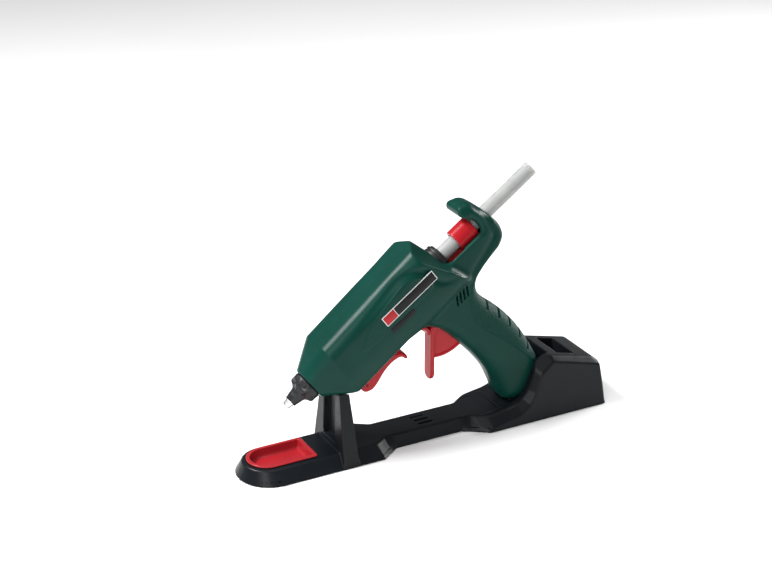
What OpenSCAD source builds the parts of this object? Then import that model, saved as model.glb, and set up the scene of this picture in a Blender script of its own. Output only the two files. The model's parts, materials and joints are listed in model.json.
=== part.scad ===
// Hot glue gun resting nose down in its bench stand.
// Frame: origin on the floor under the middle of the stand, +X to the rear,
// +Z up. The gun's own frame runs s along the glue stick from the nozzle tip,
// t square to it and upwards, and shares Y with the stand.

/* [Stand] */
// Overall length of the stand
stand_len = 296.6; // [296.2:0.1:297]
// Half width of the foot line at the front
front_foot = 25.9; // [25.6:0.1:26.2]
// Half width of the deck at the front
front_deck = 18.25; // [18:0.05:18.5]
// Half width of the foot line at the waist
waist_foot = 14.8; // [14.4:0.1:15.2]
// Half width of the deck at the waist
waist_deck = 11.7; // [11.4:0.1:12]
// Half width of the foot line at the rear
rear_foot = 27.5; // [27.2:0.1:27.8]
// Half width of the top face at the rear
rear_top = 19; // [18.6:0.1:19.4]
// Height of the deck
deck_z = 10.6; // [10.4:0.1:10.8]
// Gap between the moulded rim and the floor, held by the rubber feet
rim_z = 0.5; // [0.4:0.1:1]
// Half width of the pocket that takes the handle
pocket_half = 15.2; // [15:0.1:15.4]
// Floor height of that pocket
pocket_z = 13.5; // [13.3:0.1:13.6]

/* [Drip tray] */
// Half width of the tray's rim
tray_half = 15.3; // [15:0.1:15.6]
// Width of the flat rim
tray_rim = 2.2; // [2:0.1:2.4]
// Depth of the tray below its rim
tray_depth = 6.6; // [6:0.1:7]

/* [Gun] */
// Tilt of the glue stick from the floor
gun_tilt = 36; // [35.9:0.05:36.1]
// Place of the nozzle tip along the stand
tip_x = -109.9; // [-110.1:0.1:-109.7]
// Height of the nozzle tip
tip_z = 48.6; // [48.5:0.1:48.9]
// Wall thickness of the housing
wall = 2.4; // [2.2:0.1:2.6]
// Radius of the glue stick
stick_r = 5.6; // [5.55:0.01:5.62]
// Where the stick's soft front end stands
stick_front = 50; // [49:0.5:52]
// Where the stick ends
stick_end = 247.5; // [240:0.5:248]

/* [Trigger drive] */
// Pull angle of the trigger
pull_angle = 24; // [20:1:24]
// Trigger pivot along the stick
pivot_s = 123.7; // [123.6:0.1:123.8]
// Trigger pivot below the stick
pivot_t = -38; // [-38.1:0.1:-37.9]
// Radius from the pivot to the link pin
arm_r = 22; // [21.8:0.1:22.2]
// Link length between its pins
link_len = 34.3; // [34.1:0.1:34.5]
// Radius of the trigger's lower quadrant
quadrant_r = 29.8; // [29.5:0.1:30]
// Radius of every cross pin
pin_r = 1.5; // [1.4:0.05:1.55]
// Running clearance on a pin
pin_gap = 0.05; // [0.03:0.01:0.08]

/* [Hidden] */
$fn = 48;
e = 0.1;                     // thickness of a lofting section
far = 80;                    // longer than any cut
green = "#1f4d3d";
black = "#1c1e20";
red = "#c2202a";

// ---- stand ----
x_end = stand_len / 2;
nose_x = -x_end + front_foot;           // centre of the round nose at the floor
tray_x = -124.9;                        // centre of the tray's round end
tray_back = -91.7;                      // straight rear edge of the tray
well_x = [109.4, 124.1];                // storage well for spare sticks
well_half = 14.7;
well_z = 8;
rib_x = 100.6;                          // rear wall of the handle pocket
skin = 2.4;                             // moulding thickness of the stand
dock_x = 80;                            // contacts between stand and handle
dock_y = 4;
inlet_z = 17;
foot_spots = [[-118, 12], [-118, -12], [136, 17], [136, -17]];
screw_spots = [[-84, 12], [-84, -12], [58, 17], [58, -17]];
screw_r = 1.4;
cover_inset = 4.5;                      // cover edge inside the foot line
cover_low = 1.2;
cover_top = 3.1;

// Front deck stations: [x at floor, half width at floor, x at deck, half width at deck]
deck_stations = [[nose_x, front_foot, tray_x, front_deck], [-42.4, front_foot, -46.3, front_deck],
    [-27.1, waist_foot, -36.5, waist_deck], [26.8, waist_foot, 35.7, waist_deck],
    [45.2, rear_foot, 49, rear_top - 0.5]];
// Rising edge of the rear block: [x, height]
rise = [[45.2, 10.6], [57, 12.2], [70, 14.3], [77, 18.5], [83, 28], [87, 39.5], [91, 47], [98, 49.7],
    [137.5, 39.8]];

module bar(x, z, half) {
    translate([x, 0, z]) cube([e, 2 * half, e], center = true);
}

module deck_station(q, inset = 0, z = deck_z) {
    bar(q[0], rim_z, q[1] - inset);
    bar(q[2], z, q[3] - inset * 0.5);
}

module deck(inset = 0, z = deck_z) {
    hull() {
        translate([nose_x, 0, rim_z]) cylinder(r = front_foot - inset, h = e, $fn = 64);
        translate([tray_x, 0, z - e]) cylinder(r = front_deck - inset / 2, h = e, $fn = 64);
        deck_station(deck_stations[1], inset, z);
    }
    for (i = [1 : 3]) hull() {
        deck_station(deck_stations[i], inset, z);
        deck_station(deck_stations[i + 1], inset, z);
    }
}

// Cross-section of the rear block at one place: drafted side, shoulder, flat top
module block_section(x, z) {
    shoulder_z = max(z - 6.5, 4);
    shoulder_y = rear_foot - 0.075 * shoulder_z;
    translate([x, 0, 0]) rotate([90, 0, 90]) linear_extrude(e)
        polygon([[-rear_foot, rim_z], [rear_foot, rim_z], [shoulder_y, shoulder_z],
            [rear_top, z], [-rear_top, z], [-shoulder_y, shoulder_z]]);
}

module rear_block() {
    for (i = [0 : len(rise) - 2]) hull() {
        block_section(rise[i][0], rise[i][1]);
        block_section(rise[i + 1][0], rise[i + 1][1]);
    }
    hull() {
        block_section(137.5, 39.8);
        bar(142.5, 35.5, 19);
        bar(145.4, 20, 24);
        bar(x_end - e / 2, rim_z, 26.6);
        bar(x_end - 1.4, rim_z, rear_foot);
    }
}

// One tower leg, its foot flush with the floor line, leaning in to the nose
module leg(side) {
    hull() {
        translate([-76, side * 16.4 - 9.4, rim_z]) cube([13, 18.8, e]);
        translate([-74, side * 9.8 - 3.8, 66]) cube([7, 7.6, e]);
    }
}

module tower() {
    for (side = [-1, 1]) leg(side);
    hull() {
        translate([-71, -14, deck_z - 1]) cube([5, 28, e]);
        translate([-70, -9, 58]) cube([3.4, 18, e]);
    }
}

module stand_shell() {
    color(black) difference() {
        union() {
            deck();
            rear_block();
            tower();
        }
        // room for the handle, the nose and the spare sticks
        translate([0, pocket_half, 0]) rotate([90, 0, 0]) linear_extrude(2 * pocket_half)
            polygon([[44, deck_z], [50, deck_z], [66, pocket_z], [rib_x, pocket_z], [rib_x, far],
                [44, far]]);
        translate([well_x[0], -well_half, well_z])
            cube([well_x[1] - well_x[0], 2 * well_half, far]);
        gun() chain(barrel, 0.5);
        tray_outline(-tray_rim + 0.5, 0, far);
        for (i = [0 : 2]) translate([-6 + 0.8 * i, 5.4 - 5.4 * i, deck_z - 1]) vent_slot(12, 1.6, 2);
        // underside, with the screw bosses left standing
        linear_extrude(cover_top) cover_outline(cover_inset - 0.3);
        difference() {
            union() {
                deck(5.6, deck_z - skin);
                translate([52, -21, 0]) cube([46, 42, pocket_z - skin]);
                translate([97, -21, 0]) cube([30, 42, well_z - skin]);
                for (side = [-1, 1]) translate([90, side * 19.8 - 2.1, 0]) cube([34, 4.2, 33]);
                translate([126.5, -18, 0]) cube([14, 36, 31]);
            }
            for (q = screw_spots) translate([q[0], q[1], 0]) cylinder(r = 3.4, h = far);
        }
        for (q = screw_spots) translate([q[0], q[1], 0]) cylinder(r = screw_r + 0.05, h = 7.6);
        translate([130, -10.1, inlet_z - 6.1]) cube([far, 20.2, 12.2]);
        translate([dock_x - 9.1, -9.1, 0]) cube([18.2, 18.2, far]);
    }
}

module vent_slot(length, width, depth) {
    linear_extrude(depth) hull() {
        translate([width / 2, 0]) circle(d = width, $fn = 24);
        translate([length - width / 2, 0]) circle(d = width, $fn = 24);
    }
}

// Outline of the base plate, a step inside the rim
module cover_outline(inset) {
    in_f = front_foot - inset;
    in_w = waist_foot - inset;
    in_r = rear_foot - inset;
    polygon(concat(
        [for (a = [90 : 6 : 270]) [nose_x + in_f * cos(a), in_f * sin(a)]],
        [[-42, -in_f], [-27, -in_w], [26.5, -in_w], [45.5, -in_r], [x_end - inset, -in_r],
            [x_end - inset, in_r], [45.5, in_r], [26.5, in_w], [-27, in_w], [-42, in_f]]));
}

module stand_bottom_cover() {
    color(black) difference() {
        translate([0, 0, cover_low]) linear_extrude(cover_top - cover_low - 0.05)
            cover_outline(cover_inset);
        for (q = screw_spots) translate([q[0], q[1], 0]) {
            cylinder(r = screw_r + 0.2, h = far);
            cylinder(r = 2.8, h = cover_low + 0.9);
        }
    }
}

module stand_feet() {
    color("#2a2a2a") for (q = foot_spots) translate([q[0], q[1], 0]) cylinder(r = 6, h = cover_low);
}

module stand_screws() {
    color("silver") for (q = screw_spots) translate([q[0], q[1], cover_low]) {
        cylinder(r = screw_r, h = 6.2);
        difference() {
            cylinder(r = 2.6, h = 0.85);
            for (turn = [0, 90]) rotate(turn) translate([-1.7, -0.3, -1]) cube([3.4, 0.6, 1.5]);
        }
    }
}

// ---- drip tray: half-round in front, square at the rear ----
module tray_outline(grow, low, high) {
    r = tray_half + grow;
    translate([0, 0, low]) linear_extrude(high - low) {
        translate([tray_x, 0]) circle(r = r, $fn = 64);
        translate([tray_x, -r]) square([tray_back + grow - tray_x, 2 * r]);
    }
}

tray_top = deck_z + 1.6;

module drip_tray() {
    floor_z = tray_top - tray_depth;
    color(red) difference() {
        union() {
            tray_outline(0, deck_z + 0.3, tray_top);
            tray_outline(-tray_rim, floor_z - 1.2, tray_top);
        }
        tray_outline(-tray_rim - 1.4, floor_z, tray_top + 1);
    }
}

// ---- dock: what joins the stand to the handle ----
module dock_contact_block() {
    color("#303234") difference() {
        union() {
            translate([dock_x - 9, -9, 8]) cube([18, 18, pocket_z - 8]);
            translate([dock_x - 11, -11, 8]) cube([22, 22, pocket_z - skin - 8.1]);
        }
        for (side = [-1, 1]) translate([dock_x, side * dock_y, 0]) cylinder(r = 2.05, h = far);
    }
}

module dock_contact_pins() {
    color("gold") for (side = [-1, 1]) translate([dock_x, side * dock_y, 0]) {
        translate([0, 0, 5.6]) cylinder(r = 2, h = 7.7);
        translate([0, 0, 13.3]) cylinder(r1 = 2, r2 = 1.2, h = 0.5, $fn = 48);
    }
}

module mains_inlet() {
    color("#303234") difference() {
        translate([131, -10, inlet_z - 6]) cube([14.4, 20, 12]);
        translate([134, 0, inlet_z]) rotate([0, 90, 0]) linear_extrude(far) {
            for (side = [-1, 1]) translate([0, side * 4.2]) circle(r = 4.6);
            square([6, 8.4], center = true);
        }
        for (side = [-1, 1]) translate([120, side * 4.2, inlet_z]) rotate([0, 90, 0])
            cylinder(r = 1.25, h = far);
    }
}

module inlet_pins() {
    color("gold") for (side = [-1, 1]) translate([129, side * 4.2, inlet_z]) rotate([0, 90, 0])
        cylinder(r = 1.2, h = 14);
}

// ---- leads: a tube of eight sides swept along round-number points ----
function unit(v) = v / norm(v);
function heading(path, i) = unit(path[min(i + 1, len(path) - 1)] - path[max(i - 1, 0)]);

module swept_tube(path, r, sides = 8) {
    n = len(path);
    rings = [for (i = [0 : n - 1]) let (
        d = heading(path, i),
        u = unit(cross(d, [0.13, 0.97, 0.2])),
        v = cross(d, u))
        for (k = [0 : sides - 1]) path[i] + r * (cos(k * 360 / sides) * u + sin(k * 360 / sides) * v)];
    polyhedron(points = rings, faces = concat(
        [[for (k = [sides - 1 : -1 : 0]) k]],
        [[for (k = [0 : sides - 1]) (n - 1) * sides + k]],
        [for (i = [0 : n - 2]) for (k = [0 : sides - 1])
            [i * sides + k, i * sides + (k + 1) % sides, (i + 1) * sides + (k + 1) % sides,
                (i + 1) * sides + k]]));
}

stand_lead_path = [[80, 4, 4.6], [86, 5, 4.3], [94, 6, 4.3], [102, 6, 4.3], [110, 6, 4.3],
    [118, 6, 4.3], [125, 5.8, 4.3], [128.4, 5.2, 5.6], [129.3, 4.5, 10], [129.8, 4.2, 15.2]];

module stand_leads() {
    color("dimgray") for (side = [-1, 1])
        swept_tube([for (q = stand_lead_path) [q[0], side * q[1], q[2]]], 0.7);
}

// ---- gun frame ----
module gun() translate([tip_x, 0, tip_z]) rotate([0, -gun_tilt, 0]) children();

// Room about the trigger pivot with its axes square to the stand
module at_pivot() gun() translate([pivot_s, 0, pivot_t]) rotate([0, gun_tilt, 0]) children();

// A station runs from one point to another across the body: [s, t, s, t, half width, corner]
module station(q, g) {
    run = norm([q[2] - q[0], q[3] - q[1]]) + 2 * g;
    r = max(q[5] + g, 1);
    translate([(q[0] + q[2]) / 2, 0, (q[1] + q[3]) / 2])
        rotate([0, -atan2(q[3] - q[1], q[2] - q[0]), 0]) linear_extrude(e, center = true)
            offset(r = r, $fn = 32) square([run - 2 * r, 2 * (q[4] + g - r)], center = true);
}

module chain(list, g = 0) {
    for (i = [0 : len(list) - 2]) hull() {
        station(list[i], g);
        station(list[i + 1], g);
    }
}

channel_half = 9.6;                     // channel that the carriage runs in
channel_t = -13.6;
function between(a, b, k) = a + (b - a) * k;

barrel = [[23.5, -12.2, 23.5, 12, 11.8, 9], [45.5, -26, 45.5, 22, 20.3, 9.5],
    [136.5, -22, 136.5, 27.6, 20.5, 9.5], [151.3, -3, 143, 24, 16.5, 7]];
tail = [[130, -30, 134, -8, 14.5, 6], [147, -36, 151, -2.5, 14.5, 7], [164, -30.5, 165, -2.5, 14.5, 8],
    [186, -25.5, 187, -2.5, 14, 8], [201.5, -17.5, 202, -5, 9.5, 5.5]];
arch = [[184, -10, 184, 25.5, 13.5, 8], [194, -10, 194, 22, 13, 8],
    [201.5, -17.5, 202, -5, 9.5, 5.5]];
brow = [[182, 19.5, 182, 25, 8, 3], [185, 16, 185, 26, 11, 5]];
grip = [[112, -22, 160, -30, 17, 8], [119.8, -44.5, 160.8, -40, 14.2, 8],
    [121.6, -54, 160.8, -55, 14, 9], [124.8, -73, 165.8, -73, 14.6, 10],
    [127.3, -88, 167, -88, 14.7, 10], [127.6, -101, 166.8, -103, 14.7, 10],
    [125, -116, 165.6, -118, 14.6, 10]];
barrel_hollow = [between(barrel[0], barrel[1], 0.15), barrel[1], barrel[2],
    between(barrel[2], barrel[3], 0.65)];
tail_hollow = [[134, -34, 138, channel_t, 14.5, 6], [163, -30, 163, channel_t, 14.5, 6],
    [181, -26.5, 181, channel_t, 14, 5]];
grip_hollow = [[108, -13, 158, -15.4, 15, 8], [119.8, -44.5, 160.8, -40, 14.2, 8], grip[2],
    grip[3], grip[4], grip[5], grip[6]];
foot_s = 53.1;                          // hinge of the support foot
foot_t = -32.2;
spacer_s = [33, 91];                    // rings that carry the melt chamber
housing_screws_at = [[62, 15.6], [122, 18.5], [193, 12.6], [186.2, -19], [153, -59], [136, -111]];
vent_count = 4;                         // cooling slots on each side of the handle's root
vent_s = 139.8;
vent_t = -33.4;
vent_pitch = 3.4;
label_t = 6.8;                          // centre of the side plate
label_s = 115.2;

// Cylinder across the gun, centred on the split plane
module across(s, t, r, half) {
    translate([s, 0, t]) rotate([90, 0, 0]) cylinder(r = r, h = 2 * half, center = true);
}

// Cylinder along the glue stick
module along(r, s0, s1, r2 = undef) {
    translate([s0, 0, 0]) rotate([0, 90, 0])
        cylinder(r1 = r, r2 = r2 == undef ? r : r2, h = s1 - s0);
}

module sole(g = 0) {
    hull() {
        gun() station(grip[6], g);
        translate([78, 0, 13.85 - g]) cube([22, 22 + 2 * g, e], center = true);
        translate([78.5, 0, 17]) cube([25 + 2 * g, 28.4 + 2 * g, e], center = true);
        translate([97.5, 0, 31]) cube([4.5 + 2 * g, 25 + 2 * g, 6], center = true);
    }
}

module lug() {
    hull() {
        translate([foot_s, 0, foot_t]) rotate([90, 0, 0])
            cylinder(r = 4.2, h = 6.8, center = true, $fn = 32);
        translate([foot_s, 0, -24.5]) cube([14, 6.8, 1], center = true);
    }
}

// Solid outside of the gun, and the hollow inside it
module gun_outside() {
    gun() {
        chain(barrel);
        chain(tail);
        chain(arch);
        chain(brow);
        chain(grip);
        lug();
    }
    sole();
}

module gun_hollow() {
    gun() {
        chain(barrel_hollow, -wall);
        chain(tail_hollow, -wall);
        chain(grip_hollow, -wall);
    }
    sole(-wall);
}

// Way through a spacer and its support for the heater's tabs
module tab_passage() translate([-1, -4, -20]) cube([6.5, 8, 8.4]);

module housing_supports() {
    gun() {
        for (s = spacer_s) translate([s - 0.6, 0, 0]) difference() {
            translate([0, -far, -far]) cube([4.4, 2 * far, 2 * far]);
            along(13.1, -1, far);
            tab_passage();
        }
        for (q = housing_screws_at) across(q[0], q[1], 3.6, far);
        for (side = [-1, 1]) translate([0, side * (far / 2 + 7.6), 0])
            across(pivot_s, pivot_t, 4, far / 2);
        along(14, 138.4, 147);
    }
}

module housing_openings() {
    gun() {
        along(9.3, 20, 28);
        along(12.1, 146.2, 156);
        along(10, 120, 150);
        along(6.6, 178, far + 140);
        along(9, 178, 188);
        along(8.6, 195, 198.6);
        // channel for the carriage and a slit in its floor for the link
        translate([150, -channel_half, channel_t]) cube([38, 2 * channel_half, far]);
        translate([143, -channel_half, channel_t]) cube([10, 2 * channel_half, 9]);
        translate([138, -5.6, channel_t - 8]) cube([28, 11.2, 20]);
        // trigger: blade, quadrant and arm
        across(pivot_s, pivot_t, 15.3, 5.9);
        across(pivot_s, pivot_t, 5.3, 7.4);
        across(pivot_s, pivot_t, quadrant_r + 0.8, 4);
        across(foot_s, foot_t, pin_r + pin_gap, 10);
        for (q = housing_screws_at) {
            across(q[0], q[1], screw_r + 0.05, 11);
            translate([q[0], 10.4 + far / 2, q[1]]) rotate([90, 0, 0])
                cylinder(r = 3, h = far, center = true);
        }
        // pin sockets beside the trigger
        across(pivot_s, pivot_t, pin_r + pin_gap, 12);
        for (i = [0 : vent_count - 1]) for (side = [-1, 1])
            translate([vent_s + vent_pitch * i, side * 15.4 - 1.5, vent_t]) rotate([0, 24, 0])
                cube([1.3, 3, 8.4]);
    }
    translate([dock_x - 7.1, -8.1, 0]) cube([14.2, 16.2, 28]);
}

module housing_half(side) {
    color(green) intersection() {
        difference() {
            gun_outside();
            difference() {
                gun_hollow();
                housing_supports();
            }
            housing_openings();
        }
        translate([-far * 2, side > 0 ? 0.02 : -far - 0.02, 0]) cube([far * 5, far, far * 4]);
    }
}

module housing_left() housing_half(-1);

module housing_right() housing_half(1);

module housing_screws() {
    color("silver") gun() for (q = housing_screws_at) {
        translate([q[0], -8, q[1]]) rotate([-90, 0, 0]) cylinder(r = screw_r, h = 18.6);
        translate([q[0], 10.45, q[1]]) rotate([-90, 0, 0]) difference() {
            cylinder(r = 2.7, h = 1.9);
            for (turn = [0, 90]) rotate(turn) translate([-1.6, -0.3, 1]) cube([3.2, 0.6, 2]);
        }
    }
}

// ---- hot end ----
module nozzle() {
    color("silver") gun() difference() {
        rotate([0, 90, 0]) rotate_extrude() polygon([[0, 0], [2.5, 0], [2.8, 0.5], [3.7, 6],
            [4.2, 8], [4.2, 14], [6.4, 14.2], [6.4, 22], [5, 22.2], [5, 36], [0, 36]]);
        along(0.9, -1, 6);
        along(0.9, 5.9, 14, 3.2);
        along(3.2, 13.9, 37);
    }
}

module nozzle_boot() {
    color(black) gun() difference() {
        rotate([0, 90, 0]) rotate_extrude() polygon([[0, 5], [4.7, 5], [5.2, 6.2], [6.1, 10.5],
            [7.6, 14], [9.4, 16.2], [11.3, 17.2], [11.6, 18], [11.6, 22], [11, 23.1], [9.1, 23.2],
            [9.1, 26.4], [0, 26.4]]);
        along(4.3, 0, 14);
        along(6.5, 13.9, 30);
        for (k = [0 : 7]) rotate([22.5 + 45 * k, 0, 0]) translate([8, 0, 9.2]) rotate([0, 58, 0])
            translate([0, 0, -4]) cylinder(r = 1.9, h = 13);
    }
}

chamber_r = 9;

module melt_chamber() {
    color("#b9bcc0") gun() difference() {
        union() {
            along(chamber_r, 27.2, 96);
            along(7.5, 95, 104);
            translate([42, -9, -19.5]) cube([46, 18, 19.5]);
        }
        along(5.05, 20, 37);
        along(5.9, 36.9, 110);
        translate([44, -6, -17.5]) cube([far, 12, 6]);
    }
}

module chamber_spacers() {
    color("#d8d4c8") gun() for (s = spacer_s) difference() {
        along(13, s, s + 3.2);
        along(chamber_r + 0.05, s - 1, s + 5);
        translate([s, 0, 0]) tab_passage();
    }
}

module heater_tablets() {
    color("#e4ddd0") gun() for (s = [46.5, 65.5])
        translate([s, -5.5, -16]) cube([17, 11, 3]);
}

module heater_electrodes() {
    color("#c9a348") gun() for (t = [-12.9, -16.7]) {
        translate([45, -5, t]) cube([44.4, 10, 0.6]);
        translate([89.4, -1.5, t]) cube([6.6, 3, 0.6]);
    }
}

module heater_clamp() {
    color("silver") gun() {
        translate([56, -10.4, -20.8]) cube([14, 20.8, 1.2]);
        for (side = [-1, 1]) translate([56, side * 9.85 - 0.6, -20.8]) cube([14, 1.2, 23]);
    }
}

module thermal_fuse() {
    color("#d9d2b8") gun() translate([67.5, 0, 11.3]) rotate([0, 90, 0]) {
        cylinder(r = 2.1, h = 11);
        translate([0, 0, -3]) cylinder(r = 0.5, h = 17);
    }
}

module inlet_sleeve() {
    color("#c8503c") gun() difference() {
        along(9, 96.3, 140);
        along(7.55, 90, 104.2);
        along(6.1, 100, 150);
    }
}

module sleeve_clamp() {
    color("silver") gun() difference() {
        union() {
            along(10, 98, 102);
            translate([98, 8.6, -2.2]) cube([4, 4.4, 4.4]);
        }
        along(9.05, 90, 110);
        translate([90, 8, -0.6]) cube([20, 8, 1.2]);
    }
}

module guide_collar() {
    color(black) gun() difference() {
        union() {
            along(9.8, 141, 148);
            along(11.9, 147.5, 155);
        }
        along(6.1, 130, 160);
        translate([138, -far / 2, -far - 7.6]) cube([20, far, far]);
    }
}

module rear_guide_bush() {
    color("#303234") gun() difference() {
        along(8.5, 195.1, 198.5);
        along(6.1, 190, 210);
    }
}

// ---- trigger train ----
module trigger_pin() {
    color("silver") gun() across(pivot_s, pivot_t, pin_r, 11.6);
}

module trigger() {
    color(red) difference() {
        union() {
            at_pivot() {
                hull() {
                    translate([-6.7, -5.5, -10]) cube([3, 11, 5]);
                    translate([-5.2, 0, -47.5]) rotate([0, 90, 0])
                        cylinder(r = 5.5, h = 3, center = true, $fn = 32);
                }
                hull() {
                    translate([-6.7, -5.5, -10]) cube([3, 11, 5]);
                    translate([-14.5, -5.5, -3.2]) cube([1.5, 11, 1.5]);
                }
                rotate([90, 0, 0]) linear_extrude(7.4, center = true) intersection() {
                    circle(r = quadrant_r, $fn = 96);
                    polygon([[0, 0], [-5.2, -3.5], [-5.2, -quadrant_r * 1.2],
                        [quadrant_r, -quadrant_r * 1.2]]);
                }
            }
            gun() {
                across(pivot_s, pivot_t, 5.6, 3.7);
                across(pivot_s, pivot_t, 4, 7.3);
                translate([pivot_s - 3, -2, pivot_t]) cube([6, 4, arm_r]);
                across(pivot_s, pivot_t + arm_r, 3, 2);
            }
        }
        gun() {
            across(pivot_s, pivot_t, pin_r + pin_gap, far);
            across(pivot_s, pivot_t + arm_r, pin_r, far);
        }
    }
}

module arm_pin() {
    color("silver") gun() across(pivot_s, pivot_t + arm_r, pin_r, 5.4);
}

link_t = pivot_t + arm_r;
carriage_pin_s = pivot_s + link_len;

// The eye at the trigger arm is wide, because the link rises and falls a little as it runs
module feed_link() {
    color("silver") gun() difference() {
        union() {
            for (side = [-1, 1]) {
                for (s = [pivot_s, carriage_pin_s]) translate([0, side * 3.4, 0])
                    across(s, link_t, 3.3, 0.9);
                translate([pivot_s, side * 3.4 - 0.9, link_t - 2]) cube([link_len, 1.8, 4]);
            }
            translate([136, -4.3, link_t - 2]) cube([10, 8.6, 1.8]);
        }
        across(pivot_s, link_t, pin_r + 0.7, far);
        across(carriage_pin_s, link_t, pin_r + pin_gap, far);
    }
}

module carriage_pin() {
    color("silver") gun() across(carriage_pin_s, link_t, pin_r, 5.4);
}

jaw_s = 180.6;
jaw_t = -10.4;

module feed_carriage() {
    color(red) gun() difference() {
        union() {
            along(8.6, 169.5, 186);
            translate([152.5, -7.6, -12.4]) cube([33.5, 15.2, 4.4]);
            translate([154, -9.2, -11.8]) cube([32, 18.4, 2.2]);
            translate([carriage_pin_s - 3.2, -2, link_t]) cube([6.4, 4, 5]);
            across(carriage_pin_s, link_t, 3.2, 2);
        }
        along(6.2, 160, 190);
        across(carriage_pin_s, link_t, pin_r, far);
        translate([172, -2.3, -14]) cube([11.6, 4.6, 10]);
        across(jaw_s, jaw_t, 1, 5);
    }
}

module jaw_pin() {
    color("silver") gun() across(jaw_s, jaw_t, 1, 4.9);
}

module gripper_jaw() {
    color("silver") gun() difference() {
        translate([0, 2, 0]) rotate([90, 0, 0]) linear_extrude(4) difference() {
            union() {
                translate([jaw_s, jaw_t]) circle(r = 1.9);
                polygon([[jaw_s, jaw_t + 1.9], [jaw_s - 5, -7], [jaw_s - 7.4, -6.05],
                    [jaw_s - 6.6, -8.6], [jaw_s, jaw_t - 1.4]]);
            }
        }
        across(jaw_s, jaw_t, 1.05, far);
    }
}

spring_r = 4.6;
spring_wire = 0.45;
spring_turns = 2.5;
spring_start = 20;

// Torsion spring round the trigger's boss, with a straight leg at each end
module return_spring() {
    steps = 36;
    spring_end = spring_start + 360 * spring_turns;
    coil = [for (i = [0 : steps]) let (a = spring_start + i * 360 * spring_turns / steps)
        [spring_r * cos(a), -6.7 + 2.4 * i / steps, spring_r * sin(a)]];
    first_leg = coil[0] + 8 * [sin(spring_start), 0, -cos(spring_start)];
    last_leg = coil[steps] + 8 * [-sin(spring_end), 0, cos(spring_end)];
    color("silver") gun() translate([pivot_s, 0, pivot_t])
        swept_tube(concat([first_leg], coil, [last_leg]), spring_wire);
}

module glue_stick() {
    color([0.9, 0.9, 0.88, 0.8]) gun() {
        along(stick_r, stick_front, stick_end - 0.6);
        along(stick_r, stick_end - 0.6, stick_end, stick_r - 0.6);
    }
}

// ---- support foot: a fork over the lug, with a finger hook at its free end ----
module support_foot() {
    color(red) gun() difference() {
        union() {
            for (side = [-1, 1]) translate([0, side * 6.1, 0]) {
                across(foot_s, foot_t, 5.2, 2.2);
                hull() {
                    across(foot_s + 1.4, foot_t - 0.3, 4.9, 2.2);
                    across(62, -31.2, 4.6, 2.2);
                }
                hull() {
                    across(62, -31.2, 4.6, 2.2);
                    across(67.5, -30.1, 3.5, 2.2);
                }
            }
            hull() {
                across(68.4, -30, 3.8, 8.3);
                across(77, -29.4, 3, 8.2);
            }
            hull() {
                across(77, -29.4, 3, 8.2);
                across(84.6, -30, 3.2, 8);
            }
            hull() {
                across(84.6, -30, 3.2, 8);
                across(87.2, -33.4, 1.6, 8);
            }
            hull() {
                across(87.2, -33.4, 1.6, 8);
                across(87.2, -38.4, 1.2, 7.6);
            }
        }
        across(foot_s, foot_t, pin_r + pin_gap, far);
    }
}

module foot_pin() {
    color("silver") gun() across(foot_s, foot_t, pin_r, 8.2);
}

// ---- handle end ----
module handle_inlet() {
    color("#303234") difference() {
        translate([dock_x - 7, -8, 14]) cube([14, 16, 12]);
        for (side = [-1, 1]) translate([dock_x, side * dock_y, 0]) cylinder(r = 2.3, h = far);
    }
}

module handle_contacts() {
    color("gold") for (side = [-1, 1]) translate([dock_x, side * dock_y, 14.2])
        cylinder(r = 2.25, h = 11.6);
}

// In the gun's frame, from the heater's tabs down to the handle's foot
heater_lead_path = [[97, 1.5, -14.6], [101, 4, -14], [106, 7.5, -14], [113, 8.8, -15],
    [120, 8.8, -19], [128, 8.8, -26], [135, 8.8, -34], [140, 8.6, -44], [144, 8.6, -56],
    [146, 8.4, -68], [147, 7.6, -80], [147.5, 7, -92], [147, 6.4, -104], [145, 5.4, -114],
    [142.6, 4.4, -122.5], [140.4, 4, -129.4]];

module heater_leads() {
    color("dimgray") gun() for (side = [-1, 1])
        swept_tube([for (q = heater_lead_path) [q[0], side * q[1], q[2]]], 0.9);
}

// ---- blank plates on the barrel's sides ----
module on_side(side, s, t, thick) {
    gun() translate([s, side * (20.5 + (side > 0 ? thick : 0) + 0.02), t]) rotate([90, 0, 0])
        linear_extrude(thick) children();
}

badge_len = 10.4;
plate_len = 49;
plate_high = 8.4;

module side_plate(side) {
    color(black) on_side(side, label_s + badge_len / 2, label_t, 0.5)
        square([plate_len - badge_len, plate_high], center = true);
}

module side_badge(side) {
    color(red) on_side(side, label_s - (plate_len - badge_len) / 2 - 0.03, label_t, 0.5)
        square([badge_len, plate_high], center = true);
}

module side_plate_left() side_plate(-1);

module side_plate_right() side_plate(1);

module side_badge_left() side_badge(-1);

module side_badge_right() side_badge(1);

module rating_plate() {
    color(black) on_side(-1, 102, -3.8, 0.4) square([22, 4.6], center = true);
}

stand_shell();
stand_bottom_cover();
stand_feet();
stand_screws();
drip_tray();
dock_contact_block();
dock_contact_pins();
mains_inlet();
inlet_pins();
stand_leads();
housing_left();
housing_right();
housing_screws();
nozzle();
nozzle_boot();
melt_chamber();
chamber_spacers();
heater_tablets();
heater_electrodes();
heater_clamp();
thermal_fuse();
inlet_sleeve();
sleeve_clamp();
guide_collar();
rear_guide_bush();
trigger_pin();
return_spring();
foot_pin();
handle_inlet();
handle_contacts();
heater_leads();
side_plate_left();
side_plate_right();
side_badge_left();
side_badge_right();
rating_plate();
trigger();
arm_pin();
feed_carriage();
carriage_pin();
jaw_pin();
gripper_jaw();
feed_link();
glue_stick();
support_foot();
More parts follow.
